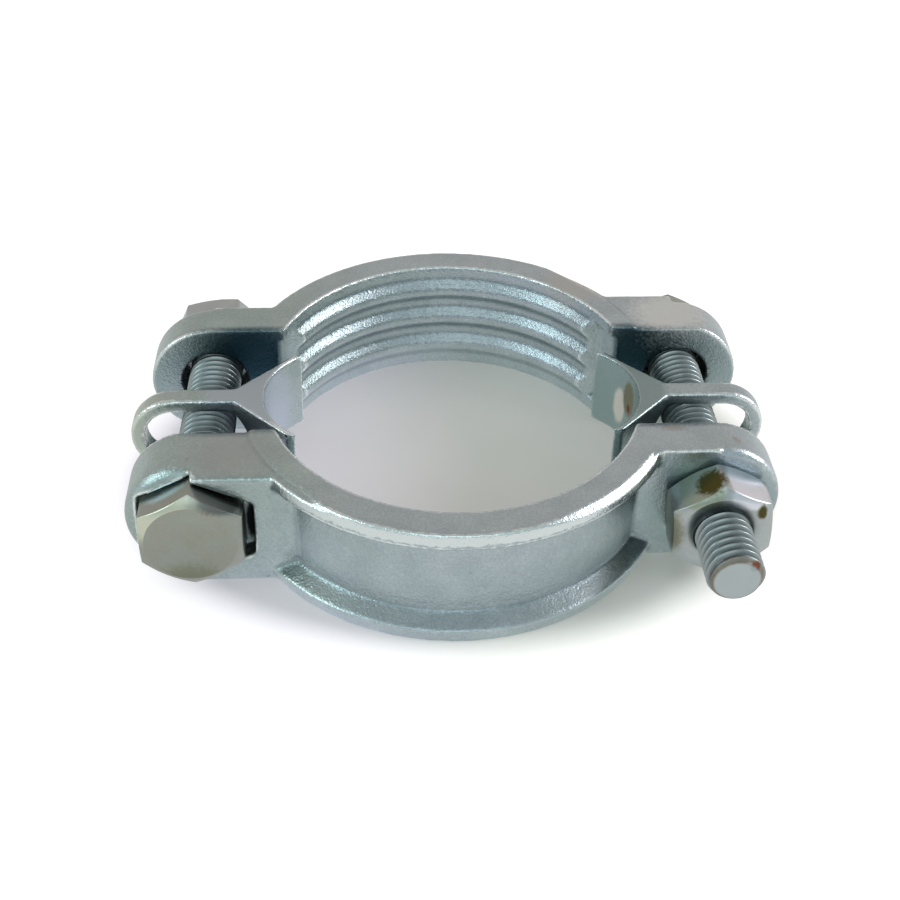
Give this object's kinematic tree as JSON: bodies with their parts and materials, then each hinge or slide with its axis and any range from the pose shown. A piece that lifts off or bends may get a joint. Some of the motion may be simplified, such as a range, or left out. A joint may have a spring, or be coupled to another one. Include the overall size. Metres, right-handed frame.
{
  "type": "double bolt hose clamp",
  "caption": "Cast hose clamp of facing half shells with gripping ridges, drawn together by hex bolts and nuts over sliding saddles that bridge the gaps.",
  "frame": {"origin": "middle of the clamp, on the surface that it lies on", "axes": "+Z along the hose, +X from the left bolt to the right bolt, +Y along the bolts from the front half to the rear half"},
  "size_m": [0.116, 0.085, 0.0235],
  "materials": {
    "plated_casting": "zinc plated casting, fine grain, bright worn edges",
    "plated_saddle": "zinc plated, satin, worn through in one place",
    "plated_bolt": "bright zinc plated forging with rolled thread",
    "plated_nut": "bright zinc plated, passivated"
  },
  "bodies": {
    "front_clamp": {"front_half": "plated_casting", "left_bolt": "plated_bolt"},
    "rear_clamp": {"rear_half": "plated_casting", "right_bolt": "plated_bolt"},
    "left_saddle": {"left_saddle": "plated_saddle"},
    "right_saddle": {"right_saddle": "plated_saddle"},
    "left_nut": {"left_nut": "plated_nut"},
    "right_nut": {"right_nut": "plated_nut"}
  },
  "joints": [
    {"name": "right_nut_turn", "type": "hinge", "parent": "front_clamp", "child": "right_nut", "pos_m": [0.0445, -0.0265, 0.01175], "axis": [0, 1, 0], "range_deg": [-1440, 2160]},
    {"name": "rear_slide", "type": "slide", "parent": "front_clamp", "child": "rear_clamp", "axis": [0, -1, 0], "range_m": [-0.006, 0.009]},
    {"name": "left_nut_turn", "type": "hinge", "parent": "rear_clamp", "child": "left_nut", "pos_m": [-0.0445, 0.0265, 0.01175], "axis": [0, -1, 0], "range_deg": [-1440, 2160]},
    {"name": "left_saddle_slide", "type": "slide", "parent": "front_clamp", "child": "left_saddle", "axis": [0, -1, 0], "range_m": [-0.003, 0.0045]},
    {"name": "right_saddle_slide", "type": "slide", "parent": "front_clamp", "child": "right_saddle", "axis": [0, -1, 0], "range_m": [-0.003, 0.0045]}
  ],
  "couplings": [
    {"joint": "right_nut_turn", "follows": "rear_slide", "rad_per_m": 4188.8},
    {"joint": "left_nut_turn", "follows": "rear_slide", "rad_per_m": 4188.8},
    {"joint": "left_saddle_slide", "follows": "rear_slide", "ratio": 0.5},
    {"joint": "right_saddle_slide", "follows": "rear_slide", "ratio": 0.5}
  ]
}
